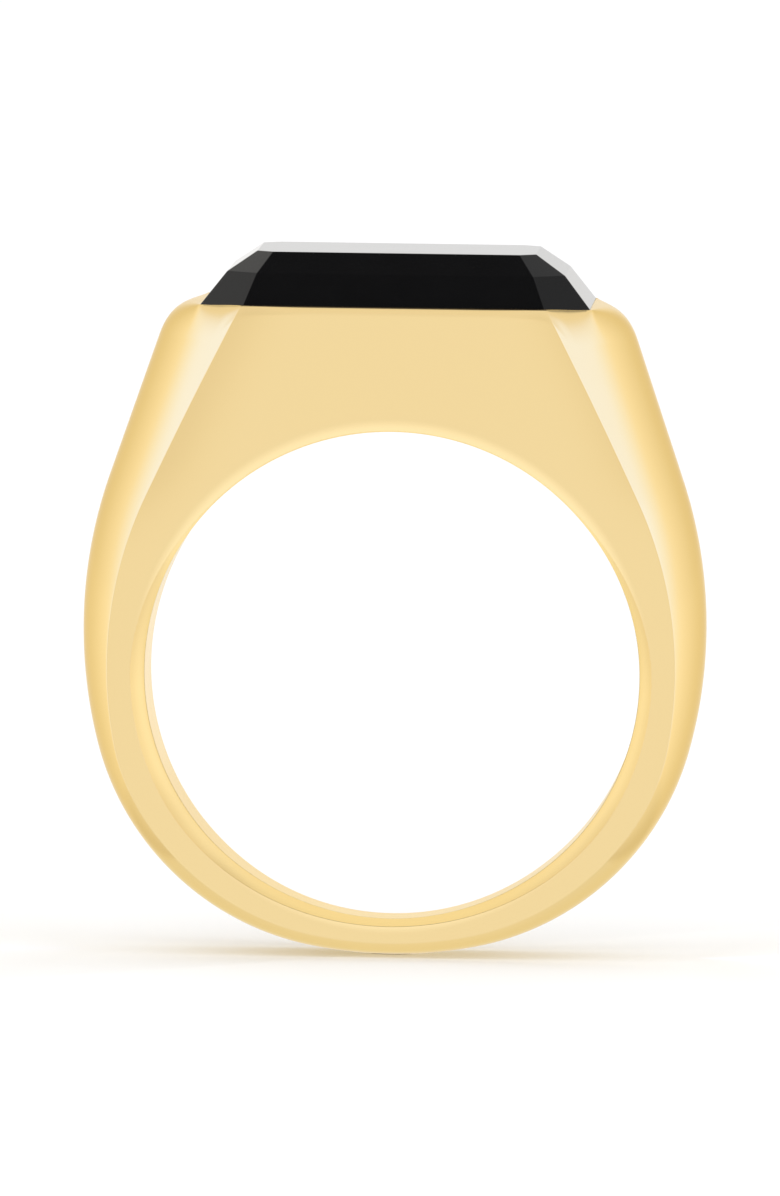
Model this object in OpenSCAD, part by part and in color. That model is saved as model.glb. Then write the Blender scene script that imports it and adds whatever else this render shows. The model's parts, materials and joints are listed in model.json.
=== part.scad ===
// Signet ring with an emerald-cut black onyx.
// A bench-made ring: a shank, two shoulders, a gallery bridge over the finger, a bezel frame,
// a bearing ledge inside it, a bed of setting cement and the stone, joined face to face.
// Origin: on the finger hole's axis, midway along its width.
// X runs across the ring, Y along the finger, Z up to the stone. Millimetres.

/* [Finger hole] */
// Radius of the finger hole
finger_r = 9.8; // [9.7:0.05:9.9]

/* [Band outline, seen along the finger] */
// Thickness of the shank under the finger
base_t = 1.5; // [1.4:0.05:2]
// Radius of the shallow arc under the finger
base_r = 17.3; // [16.5:0.1:18]
// Angle from the bottom at which the shallow arc ends
base_end = 10.5; // [9:0.5:12]
// Radius of the arc at each lower quarter
quarter_r = 10.95; // [10.9:0.05:11.2]
// Angle from the bottom at which the quarter arc ends
quarter_end = 75; // [72:1:78]
// Radius of the arc up each side
side_r = 18.5; // [18:0.1:20]
// Lean of the straight flanks towards the middle, from upright
flank_lean = 18.8; // [18:0.1:20]

/* [Band section] */
// Radius of the crowned outer surface, across the width
crown_r = 8; // [7.5:0.1:9]
// Width of the band level with the finger hole's axis
mid_w = 7.9; // [7.6:0.1:8.2]
// How much wider the band gets for each millimetre of height
widening = 0.29; // [0.27:0.01:0.3]

/* [Head] */
// Height of the seam under the bezel frame
seam_z = 11.7; // [11.5:0.1:12]
// Half of the length of the gallery bridge
bridge_half = 6.5; // [6:0.1:7]
// Half of the length of the window in the gallery bridge
window_half_l = 4.8; // [4.4:0.1:5]
// Half of the width of the window in the gallery bridge
window_half_w = 2.9; // [2.6:0.1:3]
// Leg of each cut corner of the window
window_cut = 0.4; // [0.3:0.1:0.8]
// Height of the bezel's rim, where it meets the stone
rim_z = 14.75; // [14.7:0.05:14.85]
// Width of the flat land around the stone
rim_land = 0.08; // [0.06:0.01:0.1]
// Height of the bevel along the front and back
edge_drop = 0.4; // [0.3:0.02:0.44]
// Share of the way in to the land at which that bevel reaches the rim's height
bevel_share = 0.4; // [0.3:0.05:0.5]
// Height of the rounded shoulder at the two ends
end_drop = 1.5; // [1.2:0.1:1.6]
// Share of the way in from the faces over which the bevel turns into that shoulder
end_turn = 0.1; // [0.1:0.05:0.5]
// How much lower the rim is at the two ends
end_dip = 0.1; // [0.05:0.05:0.15]

/* [Bearing] */
// Thickness of the bearing ledge
ledge_t = 0.8; // [0.7:0.05:0.9]
// How far the bearing ledge reaches in from the stone's edge
ledge_reach = 1; // [0.9:0.05:1.2]
// How far the shelf below the ledge reaches in from the stone's edge
shelf_reach = 0.6; // [0.5:0.05:0.7]
// Thickness of the bed of setting cement
cement_t = 0.1; // [0.08:0.01:0.12]

/* [Stone] */
// Half of the stone's length at its girdle
stone_half_l = 7.7; // [7.6:0.02:7.8]
// Half of the stone's width at its girdle
stone_half_w = 5.65; // [5.5:0.05:5.65]
// Leg of each cut corner at the girdle
corner_cut = 1.75; // [1.6:0.05:2]
// How much shorter that leg gets for each millimetre that the outline moves in
corner_taper = 0.5; // [0.45:0.05:0.6]
// Depth of the stone below its girdle
stone_depth = 1.1; // [1:0.05:1.2]
// How far the lower step slopes in
lower_run = 1.02; // [1:0.02:1.2]
// How far the lower step rises
lower_rise = 1.2; // [1:0.05:1.3]
// How far the upper step slopes in
upper_run = 1.17; // [1:0.01:1.2]
// How far the upper step rises
upper_rise = 0.8; // [0.7:0.05:1]

/* [Hidden] */

gold = [0.94, 0.83, 0.58];
inner_gold = [0.98, 0.87, 0.62];
cement_grey = [0.62, 0.6, 0.55];
onyx_black = [0.07, 0.07, 0.08];

// a cylinder's facets, in the preview only
$fn = 96;
// angle between two stations along the band
station_step = 5;
// how far past the band's faces and seams a cutting shape reaches
past = 0.5;
// rows across the crowned surface
crown_rows = 16;
// steps in the edge of the rim
edge_steps = 6;
// stations across a cut corner, and along a short side
corner_steps = 5;
side_steps = 8;

stone_base_z = rim_z - stone_depth;
ledge_top_z = stone_base_z - cement_t;
ledge_base_z = ledge_top_z - ledge_t;
lower_top_z = rim_z + lower_rise;
table_z = lower_top_z + upper_rise;

// angle from the bottom at which the side arc meets the straight flank
side_end = 90 + flank_lean;
// half of the width that the crowned surface is built to, before its faces are trimmed
crown_half = mid_w / 2 + widening / 2 * rim_z + past;

// centres of the three arcs in the band's outline, each arc touching the next
function toward(a) = [sin(a), -cos(a)];
base_c = [0, base_r - finger_r - base_t];
quarter_c = base_c + (base_r - quarter_r) * toward(base_end);
side_c = quarter_c + (quarter_r - side_r) * toward(quarter_end);

// half of the band's width at height z
function half_w(z) = mid_w / 2 + widening / 2 * z;

// how far the crowned surface drops, y from its middle
function crown_fall(y) = crown_r - sqrt(crown_r * crown_r - y * y);

// a point [x, z] of the right-hand outline at angle a from the bottom, f inside the crest
function arc_point(a, f) =
    a <= base_end ? base_c + (base_r - f) * toward(a)
    : a <= quarter_end ? quarter_c + (quarter_r - f) * toward(a)
    : side_c + (side_r - f) * toward(a);

// x of the straight flank at height z, f inside the crest
function flank_x(z, f) =
    arc_point(side_end, f)[0] - (z - arc_point(side_end, f)[1]) * tan(flank_lean);

// the mean of a ring's points
function middle(ring) = [for (p = ring) 1] * ring / len(ring);

// a closed solid through a stack of rings that all have the same number of points
module lofted(rings) {
    n = len(rings[0]);
    count = len(rings);
    low_cap = count * n;
    high_cap = low_cap + 1;
    top = low_cap - n;
    polyhedron(
        points = [
            for (ring = rings) each ring,
            middle(rings[0]),
            middle(rings[count - 1])
        ],
        faces = [
            for (i = [0:n - 1]) [low_cap, i, (i + 1) % n],
            for (j = [0:count - 2], i = [0:n - 1])
                each [
                    [j * n + i, (j + 1) * n + i, j * n + (i + 1) % n],
                    [(j + 1) * n + i, (j + 1) * n + (i + 1) % n, j * n + (i + 1) % n]
                ],
            for (i = [0:n - 1]) [high_cap, top + (i + 1) % n, top + i]
        ]
    );
}

// the crowned band between two angles from the bottom; tail gives the points that close its outline
module crowned_band(angles, flank_top, tail) {
    lofted([
        for (k = [0:crown_rows])
            let (y = crown_half * (1 - 2 * k / crown_rows), f = crown_fall(y))
            [
                for (a = angles)
                    let (p = arc_point(abs(a), f))
                    [a < 0 ? -p[0] : p[0], y, p[1]],
                for (z = flank_top) [flank_x(z, f), y, z],
                for (p = tail) [p[0], y, p[1]]
            ]
    ]);
}

// the space between the band's two flat faces, from height low to height high
module face_wedge(low, high, half_x) {
    rotate([90, 0, 90])
        linear_extrude(height = 2 * half_x, center = true)
            polygon([
                [-half_w(low), low],
                [half_w(low), low],
                [half_w(high), high],
                [-half_w(high), high]
            ]);
}

module finger_hole() {
    rotate([90, 0, 0])
        cylinder(h = 4 * crown_half, r = finger_r, center = true);
}

// a rectangle with its corners cut at 45 degrees, moved in from the stone's girdle by inset
function cut_of(inset) = corner_cut - inset * corner_taper;
function cut_rectangle(l, w, c) = [
    [l, -w + c], [l, w - c], [l - c, w], [-l + c, w],
    [-l, w - c], [-l, -w + c], [-l + c, -w], [l - c, -w]
];
function stone_outline(inset) =
    cut_rectangle(stone_half_l - inset, stone_half_w - inset, cut_of(inset));

module stone_prism(inset, low, high) {
    translate([0, 0, low])
        linear_extrude(height = high - low)
            polygon(stone_outline(inset));
}

// the lower half of the band, down from the seams level with the finger hole's axis
module shank() {
    end = 95;
    color(gold)
        difference() {
            intersection() {
                crowned_band([-end:station_step:end], [], []);
                face_wedge(-finger_r - base_t - past, 0, 2 * finger_r);
            }
            finger_hole();
        }
}

// one shoulder, from the shank's seam up to the bezel frame, outside the gallery bridge
module shoulder() {
    start = quarter_end + station_step;
    core_x = bridge_half - 2;
    color(gold)
        difference() {
            intersection() {
                crowned_band(
                    [for (a = [start:station_step:side_end]) a, side_end],
                    [seam_z + 1],
                    [[core_x, seam_z + 1], [core_x, arc_point(start, 0)[1]]]
                );
                translate([bridge_half + finger_r, 0, 0])
                    face_wedge(0, seam_z, finger_r);
            }
            finger_hole();
        }
}

module shoulder_right() {
    shoulder();
}

module shoulder_left() {
    color(gold)
        mirror([1, 0, 0])
            shoulder();
}

// the bridge over the finger, with the window under the stone
module gallery_bridge() {
    color(inner_gold)
        difference() {
            face_wedge(finger_r / 2, seam_z, bridge_half);
            finger_hole();
            linear_extrude(height = 2 * seam_z)
                polygon(cut_rectangle(window_half_l, window_half_w, window_cut));
        }
}

// the places along the right-hand end of the head, from -1 at the front face to 1 at the back
side_share = (stone_half_w - corner_cut) / stone_half_w;
end_places = [
    for (i = [0:corner_steps - 1]) -1 + (1 - side_share) * i / corner_steps,
    for (i = [0:side_steps]) side_share * (2 * i / side_steps - 1),
    for (i = [1:corner_steps]) side_share + (1 - side_share) * i / corner_steps
];

// the head's sloping side at height z
function side_point(place, z) =
    let (y = place * half_w(z))
    [flank_x(z, crown_fall(y)), y, z];

// 0 at the head's front and back faces, rising smoothly to 1 that share of the way in from them
function smooth(t) = t * t * (3 - 2 * t);
function endness(place, share) = smooth(min(1, (1 - abs(place)) / share));

// height of the rim, and the outer edge of its flat land
function rim_height(place) = rim_z - end_dip * endness(place, 1 - side_share);
land_l = stone_half_l + rim_land;
land_w = stone_half_w + rim_land;
function land_point(place) =
    let (y = place * land_w)
    [min(land_l, land_l + land_w - cut_of(-rim_land) - abs(y)), y, rim_height(place)];

// where the edge starts: low at the ends of the head, high along its faces
function edge_start(place) = rim_z - edge_drop - (end_drop - edge_drop) * endness(place, end_turn);

// the corner that the edge is drawn towards, and how strongly: a bevel at the faces, a round at the ends
bevel_pull = 6;
function edge_corner(place) =
    let (share = bevel_share * (1 - endness(place, end_turn)))
    (1 - share) * side_point(place, rim_height(place)) + share * land_point(place);
function edge_pull(place) = bevel_pull + (1 - bevel_pull) * endness(place, end_turn);

// the edge, t from 0 at its start to 1 at the land
function edge_point(place, t) =
    let (
        start_part = (1 - t) * (1 - t),
        corner_part = 2 * t * (1 - t) * edge_pull(place),
        land_part = t * t
    )
    (start_part * side_point(place, edge_start(place))
        + corner_part * edge_corner(place)
        + land_part * land_point(place))
    / (start_part + corner_part + land_part);

// a ring of points round the head, from its right-hand end's points
function both_ends(right) = [
    each right,
    for (i = [len(right) - 1:-1:0]) [-right[i][0], right[i][1], right[i][2]]
];

module bezel_frame() {
    color(gold)
        difference() {
            lofted([
                both_ends([for (place = end_places) side_point(place, seam_z)]),
                for (i = [0:edge_steps])
                    both_ends([for (place = end_places) edge_point(place, i / edge_steps)])
            ]);
            stone_prism(0, ledge_base_z, rim_z + past);
            stone_prism(shelf_reach, seam_z - past, ledge_base_z + past);
        }
}

// the ledge that the stone sits on, let into the bezel frame
module stone_bearing() {
    color(inner_gold)
        difference() {
            stone_prism(0, ledge_base_z, ledge_top_z);
            stone_prism(ledge_reach, ledge_base_z - past, ledge_top_z + past);
        }
}

module setting_cement() {
    color(cement_grey)
        difference() {
            stone_prism(0, ledge_top_z, stone_base_z);
            stone_prism(ledge_reach, ledge_top_z - past, stone_base_z + past);
        }
}

// a ring of the stone's outline at height z
function stone_ring(inset, z) = [for (p = stone_outline(inset)) [p[0], p[1], z]];

module onyx_stone() {
    color(onyx_black)
        lofted([
            stone_ring(0, stone_base_z),
            stone_ring(0, rim_z),
            stone_ring(lower_run, lower_top_z),
            stone_ring(lower_run + upper_run, table_z)
        ]);
}

shank();
shoulder_left();
shoulder_right();
gallery_bridge();
bezel_frame();
stone_bearing();
setting_cement();
onyx_stone();
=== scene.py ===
import json
import math
from itertools import accumulate

import bmesh
import bpy
import numpy as np
from mathutils import Matrix, Vector


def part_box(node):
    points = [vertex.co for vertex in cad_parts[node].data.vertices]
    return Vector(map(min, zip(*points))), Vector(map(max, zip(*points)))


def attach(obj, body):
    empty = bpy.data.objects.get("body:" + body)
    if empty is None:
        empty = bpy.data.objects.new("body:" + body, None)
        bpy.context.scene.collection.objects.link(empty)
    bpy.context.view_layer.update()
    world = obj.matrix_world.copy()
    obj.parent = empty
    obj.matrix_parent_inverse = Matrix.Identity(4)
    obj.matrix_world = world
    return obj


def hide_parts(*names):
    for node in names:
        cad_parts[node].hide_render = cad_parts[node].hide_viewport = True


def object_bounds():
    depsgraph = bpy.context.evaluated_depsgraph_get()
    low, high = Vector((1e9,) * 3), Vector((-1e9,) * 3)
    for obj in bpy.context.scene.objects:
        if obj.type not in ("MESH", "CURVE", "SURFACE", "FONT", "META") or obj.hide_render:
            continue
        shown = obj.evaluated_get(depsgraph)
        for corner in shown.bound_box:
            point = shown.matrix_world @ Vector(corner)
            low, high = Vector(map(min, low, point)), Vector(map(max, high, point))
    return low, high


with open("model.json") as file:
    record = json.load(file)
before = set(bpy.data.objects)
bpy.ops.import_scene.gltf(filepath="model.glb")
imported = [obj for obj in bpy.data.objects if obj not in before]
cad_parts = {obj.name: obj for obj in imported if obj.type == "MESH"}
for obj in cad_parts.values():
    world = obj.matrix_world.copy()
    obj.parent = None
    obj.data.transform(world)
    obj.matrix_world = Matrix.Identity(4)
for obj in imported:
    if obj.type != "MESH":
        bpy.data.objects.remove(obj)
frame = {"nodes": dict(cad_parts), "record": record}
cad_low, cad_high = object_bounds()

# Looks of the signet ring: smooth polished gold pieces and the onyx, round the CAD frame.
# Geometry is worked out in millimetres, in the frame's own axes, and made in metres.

MM = 0.001


def box_mm(node):
    """The CAD node's box, in mm."""
    low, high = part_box(node)
    return low / MM, high / MM


# ---------------------------------------------------------------- sizes from the frame

shank_low, shank_high = box_mm("shank")
bezel_low, bezel_high = box_mm("bezel_frame")
stone_low, stone_high = box_mm("onyx_stone")
mounts = {m["name"]: m for m in frame["record"]["mounts"]}

HOLE_R = mounts["finger_bore"]["dims"]["r_mm"]
BASE_T = -shank_low.z - HOLE_R
MID_HALF_W = shank_high.y
SEAM_Z = bezel_low.z
RIM_Z = bezel_high.z
BRIDGE_HALF = box_mm("gallery_bridge")[1].x
LEDGE_BASE_Z = box_mm("stone_bearing")[0].z
STONE_HALF_L = stone_high.x
STONE_HALF_W = stone_high.y

# ---------------------------------------------------------------- driving dimensions, in mm

# the band's outline: a shallow arc underneath, an arc at each lower quarter, an arc up each side,
# then a flank
BASE_R, BASE_END = 17.3, math.radians(10.5)
QUARTER_R, QUARTER_END = 10.95, math.radians(75)
SIDE_R, FLANK_LEAN = 18.5, math.radians(18.8)
SIDE_END = math.pi / 2 + FLANK_LEAN
# the crown across the band, and how much its half-width grows with height
CROWN_R = 8.0
WIDENING = 0.145
# low on the shank the crown falls further by this share, which it comes to between these heights
LOW_CROWN, LOW_FROM, LOW_TO = 0.65, -3.0, -11.5
# the head's flat faces fall back this far towards their edges, in a belt this wide
FACE_FALL, FALL_REACH = 0.17, 2.8
# they start to at the first of these heights, and do so in full from the second
FALL_LOW, FALL_FULL = 4.0, 9.0
# how much the finger hole widens at the faces: underneath, more by the sides, and less again on top
EASE_LOW, EASE_MORE, EASE_LESS = 0.22, 0.3, 0.47
# degrees from straight down: where it has become more, and where and over how many it becomes less
EASE_WIDE, EASE_NARROWS, EASE_NARROWING = 65, 88, 50
# it widens over this many times that amount underneath, and over so many fewer from this angle up
EASE_LENGTH, EASE_SHORTER, EASE_TURN = 6.0, 3.6, 50
# and it does so by this power of the way along
EASE_POWER = 1.15
# the shortest worn edge that the face is made to leave room for
LEAST_LIP = 0.01
# the head's window, and the flat land on its rim round the stone
WINDOW_HALF_L, WINDOW_HALF_W, WINDOW_CORNER = 4.8, 2.9, 0.5
RIM_LAND = 0.08
# how far below the rim the long sides' bevel and the rounded ends start, and how far the ends dip
EDGE_DROP, END_DROP, END_DIP = 0.4, 1.5, 0.1
# how much of the way to the land the bevel's corner lies, and how hard it pulls
BEVEL_SHARE, BEVEL_PULL = 0.4, 6.0
# the share of the head's half-width over which its rim turns from bevelled sides to rounded ends
END_TURN = 0.1
# how far the wall round the stone starts below the land, and how far the bearing's shelf reaches in
WALL_DROP = 0.02
SHELF_REACH = 0.6
# the stone's corners and steps
CORNER_CUT, CORNER_TAPER = 1.75, 0.5
LOWER_RUN, LOWER_RISE = 1.02, 1.2
UPPER_RUN = 1.17
# worn edges: where the crown meets the flat faces, round the hole and the window, and along the
# stone's facets
FACE_EDGE = 0.025
HOLE_EDGE = 0.02
WINDOW_EDGE = 0.12
STONE_EDGE = 0.03
# the share of the worn edge that the crown gives up at the faces
CROWN_BACK = 0.85


def smooth_step(t):
    """From 0 to 1 as t does, level at both ends."""
    t = min(max(t, 0.0), 1.0)
    return t * t * (3 - 2 * t)


# ---------------------------------------------------------------- the band's surfaces


def toward(angle):
    """The unit vector in XZ at that angle from straight down."""
    return np.array([math.sin(angle), -math.cos(angle)])


BASE_C = np.array([0.0, BASE_R - HOLE_R - BASE_T])
QUARTER_C = BASE_C + (BASE_R - QUARTER_R) * toward(BASE_END)
SIDE_C = QUARTER_C + (QUARTER_R - SIDE_R) * toward(QUARTER_END)
ARCS = [
    (BASE_C, BASE_R, -BASE_END, BASE_END),
    (QUARTER_C, QUARTER_R, BASE_END, QUARTER_END),
    (SIDE_C, SIDE_R, QUARTER_END, SIDE_END),
]
ANGLE_SLACK = 1e-9


def bend(t):
    """The weights of a curve's start, corner and end at t."""
    return (1 - t) ** 2, 2 * t * (1 - t), t * t


def half_width(z):
    """Half the band's width at height z, where its faces are flat."""
    return MID_HALF_W + WIDENING * z


def crown_gain(z):
    """How many times deeper the crown is at height z than its radius alone makes it."""
    return 1 + LOW_CROWN * smooth_step((z - LOW_FROM) / (LOW_TO - LOW_FROM))


def crown_fall(y, z):
    """How far the crowned surface has fallen from its crest at that y, at height z."""
    return crown_gain(z) * (CROWN_R - math.sqrt(CROWN_R**2 - y * y))


def hit(start, ray, fall):
    """The reach from start, along ray, of the outline that is fall inside the crest, and its normal."""
    for centre, radius, low, high in ARCS:
        off = start - centre
        b = off @ ray
        root = b * b - off @ off + (radius - fall) ** 2
        if root < 0:
            continue
        reach = -b + math.sqrt(root)
        normal = (start + reach * ray - centre) / (radius - fall)
        angle = math.atan2(normal[0], -normal[1])
        if low - ANGLE_SLACK <= angle <= high + ANGLE_SLACK:
            return reach, normal
    normal = toward(SIDE_END)
    foot = SIDE_C + (SIDE_R - fall) * normal
    return ((foot - start) @ normal) / (ray @ normal), normal


def edge_gap(spot):
    """How far inside the flat face's edge a spot with x >= 0 lies."""
    fall = crown_fall(half_width(spot[1]), spot[1])
    for centre, radius, low, high in ARCS:
        off = spot - centre
        angle = math.atan2(off[0], -off[1])
        if low <= angle <= high:
            return radius - fall - np.linalg.norm(off)
    return (SIDE_C - spot) @ toward(SIDE_END) + SIDE_R - fall


def edge_width(z):
    """Half the band's width at the face's edge, at height z."""
    return half_width(z) - FACE_FALL * smooth_step((z - FALL_LOW) / (FALL_FULL - FALL_LOW))


def face_y(x, z):
    """The back face's y over that spot; the front face mirrors it."""
    t = min(max(1 - edge_gap(np.array([abs(x), z])) / FALL_REACH, 0.0), 1.0)
    return half_width(z) - (half_width(z) - edge_width(z)) * t * t


SLOPE_STEP = 0.02


def face_at(x, z):
    """The back face's y over that spot, and its normal."""
    step = SLOPE_STEP
    across = (face_y(x + step, z) - face_y(x - step, z)) / (2 * step)
    up = (face_y(x, z + step) - face_y(x, z - step)) / (2 * step)
    normal = np.array([-across, 1.0, -up])
    return face_y(x, z), normal / np.linalg.norm(normal)


def ease_at(spot):
    """How much the finger hole widens at the faces: most at the sides, least on top."""
    angle = math.degrees(math.atan2(abs(spot[0]), -spot[1]))
    wider = EASE_MORE * smooth_step(angle / EASE_WIDE)
    return EASE_LOW + wider - EASE_LESS * smooth_step((angle - EASE_NARROWS) / EASE_NARROWING)


def crown_normal(normal, y, z):
    """The crowned surface's normal at that y, from the outline's normal there."""
    slope = crown_gain(z) * y / math.sqrt(CROWN_R**2 - y * y)
    return np.array([normal[0], slope, normal[1]]) / math.hypot(1.0, slope)


# turns a back normal into a front one
FRONT = np.array([1.0, -1.0, 1.0])
CORNER_STEPS = 6
CROWN_STEPS = 48
EDGE_TRIES = 30


def end_profile(start, ray):
    """The crowned surface on that ray, from back face to front face, as (reach, y, normal) rows."""
    reach = hit(start, ray, 0.0)[0]
    # where the edge lies depends on the crown's fall, and the fall on where the edge lies
    for _ in range(EDGE_TRIES):
        edge_z = start[1] + reach * ray[1]
        reach = hit(start, ray, crown_fall(half_width(edge_z), edge_z))[0]
    width = half_width(edge_z)
    squeeze = edge_width(edge_z) / width
    near = reach - FACE_EDGE
    near_w, near_normal = face_at(*(start + near * ray))
    turn_w = width - CROWN_BACK * FACE_EDGE
    rows = []
    for k in range(CROWN_STEPS + 1):
        y = turn_w * (1 - 2 * k / CROWN_STEPS)
        far, normal = hit(start, ray, crown_fall(y, edge_z))
        rows.append((far, y * squeeze, crown_normal(normal, y, edge_z)))
    turn, turn_y, turn_normal = rows[0]
    back = []
    for k in range(CORNER_STEPS):
        t = k / CORNER_STEPS
        a, b, c = bend(t)
        y = a * near_w + b * width * squeeze + c * turn_y
        normal = (1 - t) * near_normal + t * turn_normal
        back.append((a * near + b * reach + c * turn, y, normal))
    front = [(far, -y, normal * FRONT) for far, y, normal in reversed(back)]
    return back + rows + front


EASE_STEPS = 10
LIP_STEPS = 4
FACE_STEPS = 14
RADIUS_SLACK = 1e-6


def on_ray(start, ray, distance):
    """The reach along the ray of that distance from the hole's axis, or 0 where it is behind."""
    b = start @ ray
    return max(math.sqrt(max(b * b - start @ start + distance**2, 0.0)) - b, 0.0)


def hole_side(start, ray):
    """From deep in the hole out to its back edge and onto the face, as (reach, y, normal) rows."""
    ease = ease_at(start)
    angle = math.degrees(math.atan2(abs(start[0]), -start[1]))
    depth = ease * (EASE_LENGTH - EASE_SHORTER * smooth_step(angle / EASE_TURN))
    # no worn edge where the section starts on the seam, above the hole's own edge
    lip = min(max(HOLE_R + ease + HOLE_EDGE - np.linalg.norm(start), 0.0), HOLE_EDGE)
    rows = []
    for k in range(EASE_STEPS + 1):
        share = k / EASE_STEPS * (1 - lip / depth)
        radius = HOLE_R + ease * share**EASE_POWER
        reach = on_ray(start, ray, radius)
        x, z = start + reach * ray
        y, normal = face_at(x, z)
        if radius > np.linalg.norm(start) - RADIUS_SLACK:
            slope = EASE_POWER * ease / depth * share ** (EASE_POWER - 1)
            normal = np.array([-x / radius, slope, -z / radius])
        rows.append((reach, y - depth * (1 - share), normal))
    first, last_normal = rows[-1][:2], normal
    corner = on_ray(start, ray, HOLE_R + ease)
    corner_y = face_at(*(start + corner * ray))[0]
    end = corner + max(lip, LEAST_LIP)
    end_y, end_normal = face_at(*(start + end * ray))
    for k in range(1, LIP_STEPS + 1):
        t = k / LIP_STEPS
        a, b, c = bend(t)
        y = a * first[1] + b * corner_y + c * end_y
        normal = (1 - t) * last_normal / np.linalg.norm(last_normal) + t * end_normal
        rows.append((a * first[0] + b * corner + c * end, y, normal))
    return rows


def section(start, ray):
    """One closed loop of points and normals round the band, cut along the ray from start."""
    side = hole_side(start, ray)
    profile = end_profile(start, ray)
    last = side[-1][0]
    for k in range(1, FACE_STEPS):
        reach = last + (profile[0][0] - last) * k / FACE_STEPS
        side.append((reach, *face_at(*(start + reach * ray))))
    front = [(reach, -y, normal * FRONT) for reach, y, normal in reversed(side)]
    wall_normal = np.array([-start[0], 0.0, -start[1]])
    rows = side + profile + front + [(0.0, 0.0, wall_normal)]
    points = [(start[0] + r * ray[0], y, start[1] + r * ray[1]) for r, y, _ in rows]
    return np.array(points), np.array([n for _, _, n in rows])


def mirrored(array):
    """The same points or normals on the ring's left."""
    return array * np.array([-1.0, 1.0, 1.0])


# ---------------------------------------------------------------- meshes

# a face that leans further than this from the true surface keeps its own normal
SHARP = math.cos(math.radians(50))


def grid_faces(rows, columns, ring):
    """Quads over a grid whose columns close round, and whose rows close too where ring is true."""
    faces = []
    for i in range(rows if ring else rows - 1):
        for j in range(columns):
            a, b = i * columns, ((i + 1) % rows) * columns
            k = (j + 1) % columns
            faces.append((a + j, a + k, b + k, b + j))
    return faces


def make_piece(name, stations, normals, ring):
    """A closed mesh through stations, each a closed loop of points in mm, with true normals."""
    rows, columns = len(stations), len(stations[0])
    points = np.concatenate(stations)
    true = np.concatenate(normals)
    true = true / np.linalg.norm(true, axis=1)[:, None]
    faces = grid_faces(rows, columns, ring)
    if not ring:
        faces.append(tuple(reversed(range(columns))))
        faces.append(tuple((rows - 1) * columns + j for j in range(columns)))
    volume = sum(
        float(points[f[0]] @ np.cross(points[f[k]], points[f[k + 1]]))
        for f in faces
        for k in range(1, len(f) - 1)
    )
    if volume < 0:
        faces = [tuple(reversed(f)) for f in faces]
    mesh = bpy.data.meshes.new(name)
    mesh.from_pydata((points * MM).tolist(), [], faces)
    mesh.update()
    mesh.shade_smooth()
    shown = []
    for polygon in mesh.polygons:
        flat = np.array(polygon.normal)
        for vertex in polygon.vertices:
            shown.append(true[vertex] if true[vertex] @ flat > SHARP else flat)
    mesh.normals_split_custom_set([tuple(n) for n in shown])
    piece = bpy.data.objects.new(name, mesh)
    bpy.context.scene.collection.objects.link(piece)
    return piece


def finish_piece(piece, node, material):
    """Gives the piece its material, and puts it in the CAD node's place."""
    piece.data.materials.append(material)
    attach(piece, "root")
    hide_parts(node)


# ---------------------------------------------------------------- shank and shoulders

SHANK_STATIONS = 200
WALL_STATIONS, LIP_STATIONS, SEAM_STATIONS = 64, 6, 30


def shank():
    """The lower half of the band, from one seam round to the other."""
    stations, normals = [], []
    for i in range(SHANK_STATIONS + 1):
        angle = math.pi * (i / SHANK_STATIONS - 0.5)
        ray = toward(abs(angle))
        points, true = section(HOLE_R * ray, ray)
        stations.append(mirrored(points) if angle < 0 else points)
        normals.append(mirrored(true) if angle < 0 else true)
    return make_piece("shank_band", stations, normals, ring=False)


def shoulder_path():
    """The inner end of each station: up the finger hole's wall, then up the bridge's seam."""
    corner_z = math.sqrt(HOLE_R**2 - BRIDGE_HALF**2)
    top = math.asin(corner_z / HOLE_R)
    angles = [math.pi / 2 + top * k / WALL_STATIONS for k in range(WALL_STATIONS + 1)]
    path = [HOLE_R * toward(angle) for angle in angles]
    lip = ease_at(path[-1]) + HOLE_EDGE
    for k in range(1, LIP_STATIONS + 1):
        radius = HOLE_R + lip * k / LIP_STATIONS
        path.append(np.array([BRIDGE_HALF, math.sqrt(radius**2 - BRIDGE_HALF**2)]))
    low = path[-1][1]
    for k in range(1, SEAM_STATIONS + 1):
        path.append(np.array([BRIDGE_HALF, low + (SEAM_Z - low) * k / SEAM_STATIONS]))
    return path


def shoulder(name, flip):
    """The right shoulder, or where flip is true the left one."""
    path = shoulder_path()
    steps = [0.0] + [float(np.linalg.norm(b - a)) for a, b in zip(path, path[1:])]
    along = list(accumulate(steps))
    stations, normals = [], []
    for start, so_far in zip(path, along):
        crest_z = SEAM_Z * so_far / along[-1]
        crest_x = hit(np.array([0.0, crest_z]), np.array([1.0, 0.0]), 0.0)[0]
        ray = np.array([crest_x, crest_z]) - start
        points, true = section(start, ray / np.linalg.norm(ray))
        stations.append(mirrored(points) if flip else points)
        normals.append(mirrored(true) if flip else true)
    return make_piece(name, stations, normals, ring=False)


# ---------------------------------------------------------------- gallery bridge

# each corner's side in x and in y, and the way the middle of its arc faces, in degrees
WINDOW_CORNERS = ((1, -1, -45), (1, 1, 45), (-1, 1, 135), (-1, -1, 225))
WINDOW_LONG, WINDOW_SHORT, WINDOW_TURN = 48, 16, 4
HALF_CORNER = 45
# points down the window's wall, round its worn edge, along the finger hole and up the outside
WINDOW_DOWN, WINDOW_WORN, INNER_STEPS, OUTER_STEPS = 4, 8, 12, 8


def window_arc(sx, sy, aim):
    """The point of one corner's arc that faces that way, and the outward normal there."""
    normal = np.array([math.cos(math.radians(aim)), math.sin(math.radians(aim))])
    centre = np.array([sx * (WINDOW_HALF_L - WINDOW_CORNER), sy * (WINDOW_HALF_W - WINDOW_CORNER)])
    return centre + WINDOW_CORNER * normal, normal


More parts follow.
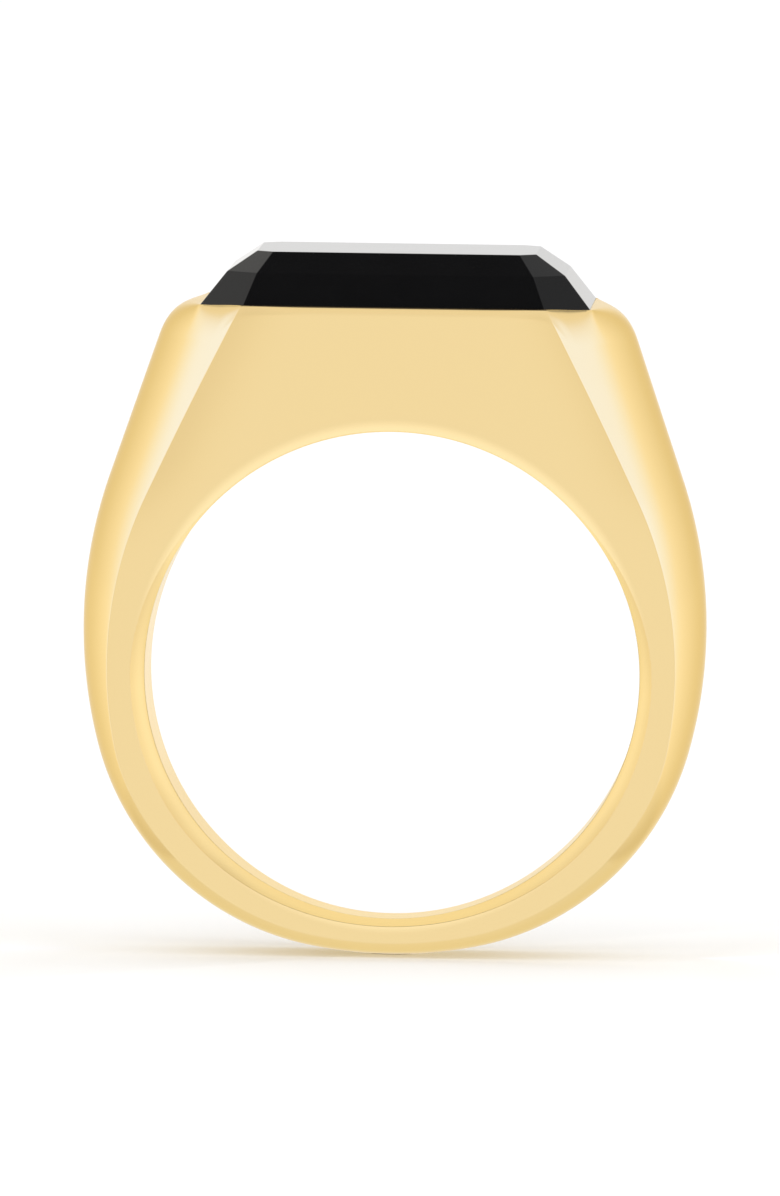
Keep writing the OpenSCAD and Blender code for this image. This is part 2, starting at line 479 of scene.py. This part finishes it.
def window_side(corner, following):
    """Points and outward normals from the middle of one corner's arc to the middle of the next's."""
    sx, sy, aim = corner
    turns = [HALF_CORNER * k / WINDOW_TURN for k in range(WINDOW_TURN)]
    rows = [window_arc(sx, sy, aim + turn) for turn in turns]
    middle = aim + HALF_CORNER
    first, normal = window_arc(sx, sy, middle)
    last = window_arc(following[0], following[1], middle)[0]
    count = WINDOW_LONG if sy == following[1] else WINDOW_SHORT
    rows += [(first + (last - first) * k / count, normal) for k in range(count)]
    return rows + [window_arc(following[0], following[1], middle + turn) for turn in turns]


def gallery_bridge():
    """The bridge, one loop for each point round its window; its corners face the bridge's own."""
    stations, normals = [], []
    for index, corner in enumerate(WINDOW_CORNERS):
        following = WINDOW_CORNERS[(index + 1) % 4]
        rows = window_side(corner, following)
        for k, (point, normal) in enumerate(rows):
            t = k / len(rows)
            along = [a + (b - a) * t for a, b in zip(corner[:2], following[:2])]
            points, true = bridge_section(point, normal, along)
            stations.append(points)
            normals.append(true)
    return make_piece("gallery_floor", stations, normals, ring=True)


def hole_z(x):
    """The height of the finger hole's wall over that x."""
    return math.sqrt(HOLE_R**2 - x * x)


def bridge_section(point, normal, along):
    """One closed loop through the bridge: down the window, along the finger hole, up the outside."""
    into = np.array([-normal[0], -normal[1], 0.0])
    wall_top = hole_z(point[0]) + WINDOW_EDGE
    heights = [SEAM_Z + (wall_top - SEAM_Z) * k / WINDOW_DOWN for k in range(WINDOW_DOWN)]
    rows = [((*point, z), into) for z in heights]
    for k in range(WINDOW_WORN + 1):
        beta = math.pi / 2 * k / WINDOW_WORN
        spot = point + WINDOW_EDGE * (1 - math.cos(beta)) * normal
        z = hole_z(spot[0]) + WINDOW_EDGE * (1 - math.sin(beta))
        down = np.array([-spot[0], 0.0, -hole_z(spot[0])]) / HOLE_R
        rows.append(((*spot, z), math.cos(beta) * into + math.sin(beta) * down))
    x = along[0] * BRIDGE_HALF
    foot = np.array([x, hole_z(x)])
    outside = bridge_face(foot, along[1]) if abs(along[1]) == 1 else bridge_end(foot, along[1])
    ahead = np.array(outside[0][0][:2])
    for k in range(1, INNER_STEPS):
        place = spot + (ahead - spot) * k / INNER_STEPS
        z = hole_z(place[0])
        rows.append(((*place, z), np.array([-place[0], 0.0, -z]) / HOLE_R))
    rows += outside
    return np.array([p for p, _ in rows]), np.array([n for _, n in rows])


def bridge_face(foot, sign):
    """Out of the finger hole, round its edge and up one of the head's flat faces."""
    flip = np.array([1.0, sign, 1.0])
    rows = []
    for reach, y, true in hole_side(foot, np.array([0.0, 1.0])):
        rows.append(((foot[0], sign * y, foot[1] + reach), true * flip))
    low = rows[-1][0][2]
    for k in range(1, OUTER_STEPS + 1):
        z = low + (SEAM_Z - low) * k / OUTER_STEPS
        y, true = face_at(foot[0], z)
        rows.append(((foot[0], sign * y, z), true * flip))
    return rows


def bridge_end(foot, share):
    """Straight up the bridge's end, against the shoulder, in as many rows as bridge_face has."""
    count = EASE_STEPS + 1 + LIP_STEPS + OUTER_STEPS
    rows = []
    for k in range(count):
        z = foot[1] + (SEAM_Z - foot[1]) * k / (count - 1)
        out = np.array([math.copysign(1.0, foot[0]), 0.0, 0.0])
        rows.append(((foot[0], share * face_at(foot[0], z)[0], z), out))
    return rows


# ---------------------------------------------------------------- bezel frame

FRONT_STEPS = 40
# the share of the head's width that the stone's straight ends take up
END_SHARE = (STONE_HALF_W - CORNER_CUT) / STONE_HALF_W


def cut_of(inset):
    """The leg of the stone's corner cut, where its outline is inset that much."""
    return CORNER_CUT - inset * CORNER_TAPER


def head_ring(z):
    """The head's outline at height z, points and normals: right end, front, left end, back."""
    right = end_profile(np.array([0.0, z]), np.array([1.0, 0.0]))
    ends = [((x, y), n) for x, y, n in right]
    front = []
    for k in range(1, FRONT_STEPS):
        x = ends[-1][0][0] * (1 - 2 * k / FRONT_STEPS)
        y, normal = face_at(x, z)
        front.append(((x, -y), normal * FRONT))
    left = [((-x, y), mirrored(n)) for (x, y), n in reversed(ends)]
    back = [((-x, -y), mirrored(n) * FRONT) for (x, y), n in front]
    ring = ends + front + left + back
    return np.array([p for p, _ in ring]), np.array([n for _, n in ring])


def stone_ring(inset):
    """The stone's outline, inset all round, with a point for each point of head_ring."""
    length, width, cut = STONE_HALF_L - inset, STONE_HALF_W - inset, cut_of(inset)
    shares = [y for _, y, _ in end_profile(np.array([0.0, SEAM_Z]), np.array([1.0, 0.0]))]
    shares = [y / shares[0] for y in shares]
    turn = min(shares[: len(shares) // 2], key=lambda share: abs(share - END_SHARE))
    right = []
    for share in shares:
        t = min((1 - abs(share)) / (1 - turn), 1.0)
        y = math.copysign(width - cut * t, share) if t < 1 else (width - cut) * share / turn
        right.append((length - cut + cut * t, y))
    front = [((length - cut) * (1 - 2 * k / FRONT_STEPS), -width) for k in range(1, FRONT_STEPS)]
    left = [(-x, y) for x, y in reversed(right)]
    back = [(-x, -y) for x, y in front]
    return np.array(right + front + left + back)


def raised(ring, z):
    """The (x, y) ring at height z, which is one height or one for each point."""
    return np.column_stack([ring, np.broadcast_to(z, len(ring))])


def unit(rows):
    """Each row at length 1."""
    return rows / np.linalg.norm(rows, axis=1)[:, None]


WALL_LAYERS, EDGE_LAYERS = 6, 20
# a normal that points this far against the wall below it is turned round
AGAINST = -0.2


def bezel_frame():
    """The head's top: up its outside, over the rim, down round the stone and onto a shelf."""
    low_ring, low_normals = head_ring(SEAM_Z)
    shares = np.abs(low_ring[:, 1]) / np.abs(low_ring[:, 1]).max()
    endness = np.array([smooth_step((1 - share) / END_TURN) for share in shares])
    dips = np.array([END_DIP * smooth_step((1 - share) / (1 - END_SHARE)) for share in shares])

    def at_heights(heights):
        """The head's outline, each point at its own height."""
        points, normals = np.zeros((len(heights), 3)), np.zeros((len(heights), 3))
        for z in set(heights):
            here = heights == z
            ring, true = head_ring(z)
            points[here], normals[here] = raised(ring, z)[here], true[here]
        return points, normals

    # rounded, so that points at one height share an outline
    rim = np.round(RIM_Z - dips, 3)
    starts = RIM_Z - EDGE_DROP - (END_DROP - EDGE_DROP) * endness
    start, start_normals = at_heights(np.round(starts, 3))
    land = raised(stone_ring(-RIM_LAND), rim)
    share = (BEVEL_SHARE * (1 - endness))[:, None]
    corner = (1 - share) * at_heights(rim)[0] + share * land
    pull = (BEVEL_PULL + (1 - BEVEL_PULL) * endness)[:, None]
    layers, normals = [], []
    for k in range(WALL_LAYERS):
        t = k / WALL_LAYERS
        layers.append((1 - t) * raised(low_ring, SEAM_Z) + t * start)
        normals.append(unit((1 - t) * low_normals + t * start_normals))
    curve = []
    for k in range(EDGE_LAYERS + 1):
        t = k / EDGE_LAYERS
        a, b, c = bend(t)
        b = b * pull
        curve.append((a * start + b * corner + c * land) / (a + b + c))
    for k, layer in enumerate(curve):
        ahead = curve[min(k + 1, EDGE_LAYERS)] - curve[max(k - 1, 0)]
        round_way = np.roll(layer, -1, axis=0) - np.roll(layer, 1, axis=0)
        true = unit(np.cross(ahead, round_way))
        true[(true * start_normals).sum(axis=1) < AGAINST] *= -1
        layers.append(layer)
        normals.append(start_normals if k == 0 else true)
    up = np.tile([0.0, 0.0, 1.0], (len(low_ring), 1))
    inward = -low_normals * np.array([1, 1, 0])
    for inset, z, true in (
        (0.0, rim - WALL_DROP, up),
        (0.0, LEDGE_BASE_Z, inward),
        (SHELF_REACH, LEDGE_BASE_Z, up),
        (SHELF_REACH, SEAM_Z, inward),
    ):
        layers.append(raised(stone_ring(inset), z))
        normals.append(true)
    stations = [np.array([layer[j] for layer in layers]) for j in range(len(low_ring))]
    trues = [np.array([n[j] for n in normals]) for j in range(len(low_ring))]
    return make_piece("bezel_rim", stations, trues, ring=True)


# ---------------------------------------------------------------- onyx


def stone_corners(inset, z):
    """The eight corners of the stone's outline, inset all round, at height z."""
    l, w, c = STONE_HALF_L - inset, STONE_HALF_W - inset, cut_of(inset)
    flat = [(l, -w + c), (l, w - c), (l - c, w), (-l + c, w)]
    flat += [(-x, -y) for x, y in flat]
    return [Vector((x * MM, y * MM, z * MM)) for x, y in flat]


def onyx():
    """The stone: straight up to the rim, two steps of facets, and a flat table."""
    rings = [
        stone_corners(0.0, stone_low.z),
        stone_corners(0.0, RIM_Z - END_DIP),
        stone_corners(LOWER_RUN, RIM_Z + LOWER_RISE),
        stone_corners(LOWER_RUN + UPPER_RUN, stone_high.z),
    ]
    bm = bmesh.new()
    verts = [[bm.verts.new(p) for p in ring] for ring in rings]
    for low, high in zip(verts, verts[1:]):
        for k in range(8):
            m = (k + 1) % 8
            bm.faces.new((low[k], low[m], high[m], high[k]))
    bm.faces.new(list(reversed(verts[0])))
    bm.faces.new(verts[-1])
    bmesh.ops.bevel(
        bm,
        geom=list(bm.edges),
        offset=STONE_EDGE * MM,
        segments=3,
        profile=0.5,
        affect="EDGES",
        clamp_overlap=True,
    )
    mesh = bpy.data.meshes.new("onyx_cut")
    bm.to_mesh(mesh)
    bm.free()
    mesh.shade_smooth()
    face_weighted(mesh)
    piece = bpy.data.objects.new("onyx_cut", mesh)
    bpy.context.scene.collection.objects.link(piece)
    return piece


def face_weighted(mesh):
    """Custom normals that keep each facet flat and turn only across the narrow bevels."""
    sums = np.zeros((len(mesh.vertices), 3))
    for polygon in mesh.polygons:
        for vertex in polygon.vertices:
            sums[vertex] += np.array(polygon.normal) * polygon.area
    sums /= np.linalg.norm(sums, axis=1)[:, None]
    mesh.normals_split_custom_set([tuple(sums[loop.vertex_index]) for loop in mesh.loops])


# ---------------------------------------------------------------- materials

# the gold; the finger hole's wall, painted a lighter tone that stands in for brighter reflections on
# it; and the gold seen at a slant
GOLD = (0.87, 0.67, 0.335)
HOLE_PAINTED_LIGHT = (1.0, 0.8, 0.43)
GOLD_EDGE = (0.96, 0.84, 0.55)
# the painted light on the finger hole's wall fades out between these distances from it
HOLE_LIGHT_FADE = (0.1, 0.55)
GOLD_GLOSS = (0.13, 0.2)
# noise scales go by the metre
HAZE = {"Scale": 420.0, "Detail": 4.0, "Roughness": 0.55}
WAVE = {"Scale": 260.0, "Detail": 2.0, "Roughness": 0.4}
WAVE_STRENGTH, WAVE_DEPTH = 0.05, 0.02 * MM
ONYX_IOR = 1.54
ONYX_TONES = ((0.0022, 0.0022, 0.0024), (0.005, 0.005, 0.0054))
ONYX_CLOUD = {"Scale": 350.0, "Detail": 5.0, "Roughness": 0.6}
ONYX_GLOSS = (0.02, 0.06)
CEMENT_TONES = ((0.3, 0.28, 0.24), (0.42, 0.4, 0.35))
CEMENT_GRAIN = {"Scale": 2500.0, "Detail": 4.0}
CEMENT_ROUGH = 0.7


def new_material(name):
    """A material with its node tree and its shader."""
    material = bpy.data.materials.new(name)
    material.use_nodes = True
    tree = material.node_tree
    shader = next(n for n in tree.nodes if n.type == "BSDF_PRINCIPLED")
    return material, tree, shader


def add(tree, kind, **values):
    """A new node of that kind, with those settings, or defaults for its inputs."""
    node = tree.nodes.new(kind)
    for key, value in values.items():
        if hasattr(node, key):
            setattr(node, key, value)
        else:
            node.inputs[key.replace("_", " ")].default_value = value
    return node


def two_tones(tree, value, low, high):
    """The colour from low to high as the value goes from 0 to 1."""
    ramp = add(tree, "ShaderNodeValToRGB")
    ramp.color_ramp.elements[0].color = (*low, 1)
    ramp.color_ramp.elements[1].color = (*high, 1)
    tree.links.new(value, ramp.inputs["Fac"])
    return ramp.outputs["Color"]


def gloss_from(tree, value, bounds, shader):
    """Lets the shader's roughness go between those bounds with the value."""
    gloss = add(tree, "ShaderNodeMapRange")
    gloss.inputs["To Min"].default_value, gloss.inputs["To Max"].default_value = bounds
    tree.links.new(value, gloss.inputs["Value"])
    tree.links.new(gloss.outputs["Result"], shader.inputs["Roughness"])


def gold_material():
    """Polished gold, with painted light on the finger hole's wall: a lighter tone in its colour."""
    material, tree, shader = new_material("polished_gold")
    place = add(tree, "ShaderNodeTexCoord").outputs["Object"]
    shader.inputs["Metallic"].default_value = 1.0
    # keeps the gold's colour where it is seen at a slant
    shader.inputs["Specular Tint"].default_value = (*GOLD_EDGE, 1)
    # polishing haze: broad, faint changes in gloss
    haze = add(tree, "ShaderNodeTexNoise", **HAZE)
    tree.links.new(place, haze.inputs["Vector"])
    gloss_from(tree, haze.outputs["Fac"], GOLD_GLOSS, shader)
    # painted light: the finger hole's wall is painted a shade lighter, standing in for brighter
    # reflections on it
    flat = add(tree, "ShaderNodeVectorMath", operation="MULTIPLY")
    flat.inputs[1].default_value = (1, 0, 1)
    tree.links.new(place, flat.inputs[0])
    radius = add(tree, "ShaderNodeVectorMath", operation="LENGTH")
    tree.links.new(flat.outputs[0], radius.inputs[0])
    painted_light_mask = add(tree, "ShaderNodeMapRange", interpolation_type="SMOOTHSTEP")
    painted_light_mask.inputs["From Min"].default_value = (HOLE_R + HOLE_LIGHT_FADE[0]) * MM
    painted_light_mask.inputs["From Max"].default_value = (HOLE_R + HOLE_LIGHT_FADE[1]) * MM
    painted_light_mask.inputs["To Min"].default_value = 1.0
    painted_light_mask.inputs["To Max"].default_value = 0.0
    tree.links.new(radius.outputs["Value"], painted_light_mask.inputs["Value"])
    tone = two_tones(tree, painted_light_mask.outputs["Result"], GOLD, HOLE_PAINTED_LIGHT)
    tree.links.new(tone, shader.inputs["Base Color"])
    # the softest waviness left by the buff
    wave = add(tree, "ShaderNodeTexNoise", **WAVE)
    tree.links.new(place, wave.inputs["Vector"])
    bump = add(tree, "ShaderNodeBump", Strength=WAVE_STRENGTH, Distance=WAVE_DEPTH)
    tree.links.new(wave.outputs["Fac"], bump.inputs["Height"])
    tree.links.new(bump.outputs["Normal"], shader.inputs["Normal"])
    return material


def onyx_material():
    """The black stone, with a faint cloudy tone and uneven gloss."""
    material, tree, shader = new_material("black_onyx")
    place = add(tree, "ShaderNodeTexCoord").outputs["Object"]
    shader.inputs["IOR"].default_value = ONYX_IOR
    cloud = add(tree, "ShaderNodeTexNoise", **ONYX_CLOUD)
    tree.links.new(place, cloud.inputs["Vector"])
    tone = two_tones(tree, cloud.outputs["Fac"], *ONYX_TONES)
    tree.links.new(tone, shader.inputs["Base Color"])
    gloss_from(tree, cloud.outputs["Fac"], ONYX_GLOSS, shader)
    return material


def cement_material():
    """The dull, grainy bed under the stone."""
    material, tree, shader = new_material("setting_cement")
    place = add(tree, "ShaderNodeTexCoord").outputs["Object"]
    grain = add(tree, "ShaderNodeTexNoise", **CEMENT_GRAIN)
    tree.links.new(place, grain.inputs["Vector"])
    tone = two_tones(tree, grain.outputs["Fac"], *CEMENT_TONES)
    tree.links.new(tone, shader.inputs["Base Color"])
    shader.inputs["Roughness"].default_value = CEMENT_ROUGH
    return material


gold = gold_material()
onyx_black = onyx_material()
cement = cement_material()

finish_piece(shank(), "shank", gold)
finish_piece(shoulder("shoulder_right_flank", False), "shoulder_right", gold)
finish_piece(shoulder("shoulder_left_flank", True), "shoulder_left", gold)
finish_piece(gallery_bridge(), "gallery_bridge", gold)
finish_piece(bezel_frame(), "bezel_frame", gold)
finish_piece(onyx(), "onyx_stone", onyx_black)
for node, material in (("stone_bearing", gold), ("setting_cement", cement)):
    data = frame["nodes"][node].data
    data.materials.clear()
    data.materials.append(material)

# ---------------------------------------------------------------- studio

scene = bpy.context.scene
scene.view_settings.view_transform = "Standard"

FLOOR_COLOUR, FLOOR_ROUGH = (0.97, 0.97, 0.97), 0.9
SHEET_SIZE = 3.0
# how bright the world is for everything but reflections
EVEN_LEVEL = 1.06
# the tent's walls by degrees from the finger's axis: white, then warm and dimmer, then cool and
# bright at the sides
TENT_WALLS = [
    (0, (1.0, 1.0, 1.0)),
    (5, (0.99, 0.98, 0.96)),
    (9, (0.94, 0.92, 0.87)),
    (13, (0.9, 0.87, 0.82)),
    (19, (0.895, 0.86, 0.795)),
    (31, (0.93, 0.9, 0.845)),
    (41, (0.99, 0.965, 0.92)),
    (50, (1.06, 1.03, 0.97)),
    (59, (1.13, 1.11, 1.05)),
    (68, (1.13, 1.23, 1.55)),
    (76, (1.13, 1.32, 2.0)),
    (90, (1.13, 1.34, 2.1)),
]
# between these heights the walls turn into the lid
TENT_RIM = (0.24, 0.42)
TENT_LID = (0.98, 0.95, 0.89)
# the share of that light that is left with height
TENT_ROOF = [
    (0.0, (1.0, 1.0, 1.0)),
    (0.56, (1.0, 1.0, 1.0)),
    (0.69, (0.3, 0.31, 0.33)),
    (0.86, (0.06, 0.062, 0.066)),
    (1.0, (0.045, 0.046, 0.05)),
]
# the tent's own sheet lies this far above the floor, and is a little brighter than the tent
SHEET_LIFT, SHEET_LEVEL = 0.02 * MM, 1.03
# it is white in front of the ring and behind it, this far to either side
SHEET_HALF_GAP = 12 * MM
# behind the ring the sheet is dimmed by painted shade that stands in for the ring's own shadow: its
# level there, how far back its middle is, and between which distances from there it ends
SHADE, SHADE_BEHIND, SHADE_REACH = 0.92, 7 * MM, (7 * MM, 11 * MM)
# the share of a distance across the ring that counts, which makes the painted shade long that way
SHADE_ACROSS = 0.35


def flat_sheet(name, lift):
    """A large level sheet, that much above the ring's lowest point."""
    bm = bmesh.new()
    bmesh.ops.create_grid(bm, x_segments=1, y_segments=1, size=SHEET_SIZE)
    mesh = bpy.data.meshes.new(name)
    bm.to_mesh(mesh)
    bm.free()
    obj = bpy.data.objects.new(name, mesh)
    obj.location = (0, 0, cad_low.z + lift)
    scene.collection.objects.link(obj)
    return obj


def floor():
    """The pale, plain floor."""
    obj = flat_sheet("studio_floor", 0.0)
    material, tree, shader = new_material("studio_floor")
    shader.inputs["Base Color"].default_value = (*FLOOR_COLOUR, 1)
    shader.inputs["Roughness"].default_value = FLOOR_ROUGH
    obj.data.materials.append(material)


def softbox(name, azimuth, elevation, distance, width, height, power):
    """A soft light that faces the ring's middle and that reflections don't show."""
    a, e = math.radians(azimuth), math.radians(elevation)
    back = Vector((math.sin(a) * math.cos(e), -math.cos(a) * math.cos(e), math.sin(e)))
    light = bpy.data.lights.new(name, "AREA")
    light.shape = "RECTANGLE"
    light.size, light.size_y = width, height
    light.energy = power
    obj = bpy.data.objects.new(name, light)
    obj.location = back * distance
    obj.rotation_mode = "QUATERNION"
    obj.rotation_quaternion = back.to_track_quat("Z", "Y")
    obj.visible_glossy = False
    scene.collection.objects.link(obj)


def ramp_of(tree, value, stops):
    """A colour ramp through (place, colour) stops."""
    ramp = add(tree, "ShaderNodeValToRGB")
    ramp.color_ramp.interpolation = "LINEAR"
    elements = ramp.color_ramp.elements
    while len(elements) < len(stops):
        elements.new(0.5)
    for element, (place, colour) in zip(elements, stops):
        element.position = place
        element.color = (*colour, 1)
    tree.links.new(value, ramp.inputs["Fac"])
    return ramp.outputs["Color"]


def tent_at(tree, x, y):
    """The tent's colour in the direction with those sideways and along-the-finger parts."""
    angle = add(tree, "ShaderNodeMath", operation="ARCTAN2")
    tree.links.new(x, angle.inputs[0])
    tree.links.new(y, angle.inputs[1])
    share = add(tree, "ShaderNodeMath", operation="DIVIDE")
    share.inputs[1].default_value = math.pi / 2
    tree.links.new(angle.outputs[0], share.inputs[0])
    stops = [(degrees / 90, colour) for degrees, colour in TENT_WALLS]
    return ramp_of(tree, share.outputs[0], stops)


def sizes_of(tree, vector):
    """How far the vector goes sideways and along the finger, either way."""
    whole = add(tree, "ShaderNodeVectorMath", operation="ABSOLUTE")
    tree.links.new(vector, whole.inputs[0])
    parts = add(tree, "ShaderNodeSeparateXYZ")
    tree.links.new(whole.outputs[0], parts.inputs[0])
    return parts.outputs["X"], parts.outputs["Y"]


def studio_world():
    """Even white light for the floor, and for reflections a tent with bright sides and a dark top."""
    world = bpy.data.worlds.new("studio")
    world.use_nodes = True
    tree = world.node_tree
    tree.nodes.clear()
    direction = add(tree, "ShaderNodeTexCoord").outputs["Generated"]
    height = add(tree, "ShaderNodeSeparateXYZ")
    tree.links.new(direction, height.inputs[0])
    walls = tent_at(tree, *sizes_of(tree, direction))
    roof = ramp_of(tree, height.outputs["Z"], TENT_ROOF)
    above = add(tree, "ShaderNodeMapRange", interpolation_type="SMOOTHSTEP")
    above.inputs["From Min"].default_value, above.inputs["From Max"].default_value = TENT_RIM
    tree.links.new(height.outputs["Z"], above.inputs["Value"])
    whole = add(tree, "ShaderNodeMix", data_type="RGBA")
    tree.links.new(above.outputs["Result"], whole.inputs[0])
    tree.links.new(walls, whole.inputs[6])
    whole.inputs[7].default_value = (*TENT_LID, 1)
    tent = add(tree, "ShaderNodeVectorMath", operation="MULTIPLY")
    tree.links.new(whole.outputs[2], tent.inputs[0])
    tree.links.new(roof, tent.inputs[1])
    mirror = add(tree, "ShaderNodeBackground")
    tree.links.new(tent.outputs[0], mirror.inputs["Color"])
    even = add(tree, "ShaderNodeBackground", Strength=EVEN_LEVEL)
    even.inputs["Color"].default_value = (1, 1, 1, 1)
    chosen = add(tree, "ShaderNodeMixShader")
    tree.links.new(add(tree, "ShaderNodeLightPath").outputs["Is Glossy Ray"], chosen.inputs[0])
    tree.links.new(even.outputs[0], chosen.inputs[1])
    tree.links.new(mirror.outputs[0], chosen.inputs[2])
    out = add(tree, "ShaderNodeOutputWorld")
    tree.links.new(chosen.outputs[0], out.inputs["Surface"])
    scene.world = world


def tent_sheet():
    """The tent's own floor, a glowing graded sheet that only reflections see, with painted shade behind
    the ring.
    """
    obj = flat_sheet("tent_sheet", SHEET_LIFT)
    for way in ("camera", "diffuse", "transmission", "volume_scatter", "shadow"):
        setattr(obj, "visible_" + way, False)
    material = bpy.data.materials.new("tent_sheet")
    material.use_nodes = True
    tree = material.node_tree
    tree.nodes.clear()
    x, y = sizes_of(tree, add(tree, "ShaderNodeTexCoord").outputs["Object"])
    beside = add(tree, "ShaderNodeMath", operation="SUBTRACT")
    beside.inputs[1].default_value = SHEET_HALF_GAP
    tree.links.new(x, beside.inputs[0])
    clear = add(tree, "ShaderNodeMath", operation="MAXIMUM")
    clear.inputs[1].default_value = 0.0
    tree.links.new(beside.outputs[0], clear.inputs[0])
    # painted shade: the sheet glows dimmer just behind the ring, standing in for the ring's shadow on
    # it
    shadow = add(tree, "ShaderNodeVectorMath", operation="MULTIPLY_ADD")
    tree.links.new(add(tree, "ShaderNodeTexCoord").outputs["Object"], shadow.inputs[0])
    shadow.inputs[1].default_value = (SHADE_ACROSS, 1, 0)
    shadow.inputs[2].default_value = (0, -SHADE_BEHIND, 0)
    away = add(tree, "ShaderNodeVectorMath", operation="LENGTH")
    tree.links.new(shadow.outputs[0], away.inputs[0])
    level = add(tree, "ShaderNodeMapRange", interpolation_type="SMOOTHSTEP")
    level.inputs["From Min"].default_value, level.inputs["From Max"].default_value = SHADE_REACH
    level.inputs["To Min"].default_value = SHEET_LEVEL * SHADE
    level.inputs["To Max"].default_value = SHEET_LEVEL
    tree.links.new(away.outputs["Value"], level.inputs["Value"])
    glow = add(tree, "ShaderNodeEmission")
    tree.links.new(level.outputs["Result"], glow.inputs["Strength"])
    tree.links.new(tent_at(tree, clear.outputs[0], y), glow.inputs["Color"])
    out = add(tree, "ShaderNodeOutputMaterial")
    tree.links.new(glow.outputs[0], out.inputs["Surface"])
    obj.data.materials.append(material)


floor()
tent_sheet()
softbox(
    "key_softbox", azimuth=-40, elevation=55, distance=0.5, width=0.4, height=0.4, power=0.15
)
studio_world()

# ---------------------------------------------------------------- camera

AZIMUTH, ELEVATION, ROLL = math.radians(2.2), math.radians(4.2), math.radians(0.7)
DISTANCE, SENSOR = 0.9, 36
PHOTO_H = 1196
MM_PER_PIXEL = 1 / 25.2
# where the finger hole's axis sits in the picture, from the picture's middle, in mm at the ring
AXIS_RIGHT, AXIS_DOWN = 0.18, 2.845

back = Vector(
    (
        math.sin(AZIMUTH) * math.cos(ELEVATION),
        -math.cos(AZIMUTH) * math.cos(ELEVATION),
        math.sin(ELEVATION),
    )
)
right = Vector((math.cos(AZIMUTH), math.sin(AZIMUTH), 0))
up = back.cross(right)
right_r = right * math.cos(ROLL) + up * math.sin(ROLL)
up_r = -right * math.sin(ROLL) + up * math.cos(ROLL)
target = -right_r * AXIS_RIGHT * MM + up_r * AXIS_DOWN * MM

camera = bpy.data.objects.new("camera", bpy.data.cameras.new("camera"))
scene.collection.objects.link(camera)
scene.camera = camera
camera.matrix_world = Matrix.Translation(target + back * DISTANCE) @ Matrix(
    (right_r, up_r, back)
).transposed().to_4x4()
camera.data.sensor_width = SENSOR
camera.data.lens = SENSOR * DISTANCE / (PHOTO_H * MM_PER_PIXEL * MM)
camera.data.clip_start, camera.data.clip_end = 0.05, 5
